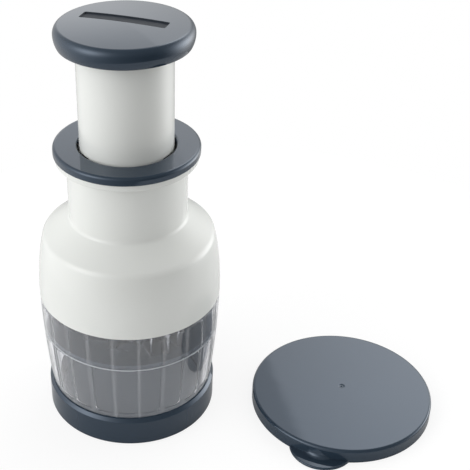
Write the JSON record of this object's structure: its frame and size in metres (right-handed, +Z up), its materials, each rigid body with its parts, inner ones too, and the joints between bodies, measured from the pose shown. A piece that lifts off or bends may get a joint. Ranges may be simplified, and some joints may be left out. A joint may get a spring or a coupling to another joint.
{
  "type": "manual food chopper",
  "caption": "Press-down food chopper: sprung knob and tube drive a turning zigzag blade set through a clear cup on a base cap, with a flat storage lid beside it.",
  "frame": {"origin": "on the chopper's own vertical axis, at the level of the table under the foot pad", "axes": "+Z up along the plunger; +X towards the lid that lies beside the chopper; -Y towards the viewer"},
  "size_m": [0.2162, 0.114, 0.2217],
  "materials": {
    "slate_plastic": "glossy moulded slate grey",
    "white_plastic": "smooth moulded white",
    "bearing_plastic": "natural slippery plastic",
    "clear_plastic": "clear moulded",
    "board_plastic": "fine matt",
    "steel": "turned and plated",
    "spring_steel": "drawn wire",
    "blade_steel": "polished stainless strip",
    "foot_rubber": "matt non-slip"
  },
  "bodies": {
    "base": {"base_cap": "slate_plastic", "cutting_board": "board_plastic", "foot_pad": "foot_rubber"},
    "lid": {"storage_lid": "slate_plastic"},
    "cup": {"clear_cup": "clear_plastic"},
    "housing": {"housing": "white_plastic", "collar_ring": "slate_plastic", "guide_bush": "bearing_plastic", "bridge": "bearing_plastic", "twist_nut": "steel", "bridge_screws": "steel", "return_spring": "spring_steel"},
    "plunger": {"knob_cap": "slate_plastic", "knob_plate": "slate_plastic", "plunger_tube": "white_plastic", "tube_screws": "steel", "thrust_washer": "bearing_plastic"},
    "blade_head": {"blade_shaft": "steel", "shaft_clip": "spring_steel", "shaft_nut": "steel", "blade_carrier": "white_plastic", "blade_1": "blade_steel", "blade_2": "blade_steel", "blade_3": "blade_steel"},
    "wiper": {"wiper_plate": "slate_plastic", "wiper_pins": "steel"}
  },
  "joints": [
    {"name": "lid_lift", "type": "slide", "parent": "base", "child": "lid", "axis": [0, 0, 1], "range_m": [0, 0.05]},
    {"name": "cup_lift", "type": "slide", "parent": "base", "child": "cup", "axis": [0, 0, 1], "range_m": [0, 0.03]},
    {"name": "housing_lift", "type": "slide", "parent": "cup", "child": "housing", "axis": [0, 0, 1], "range_m": [0, 0.08]},
    {"name": "plunger_press", "type": "slide", "parent": "housing", "child": "plunger", "axis": [0, 0, -1], "range_m": [0, 0.045], "stiffness_N_per_m": 320, "springref_m": -0.03, "deforming": ["return_spring"]},
    {"name": "blade_index", "type": "hinge", "parent": "plunger", "child": "blade_head", "pos_m": [0, 0, 0.1], "axis": [0, 0, 1], "range_deg": [0, 30]},
    {"name": "wiper_turn", "type": "hinge", "parent": "housing", "child": "wiper", "pos_m": [0, 0, 0.1], "axis": [0, 0, 1], "range_deg": [0, 30]}
  ],
  "couplings": [
    {"joint": "blade_index", "follows": "plunger_press", "rad_per_m": 11.634},
    {"joint": "wiper_turn", "follows": "plunger_press", "rad_per_m": 11.634}
  ]
}
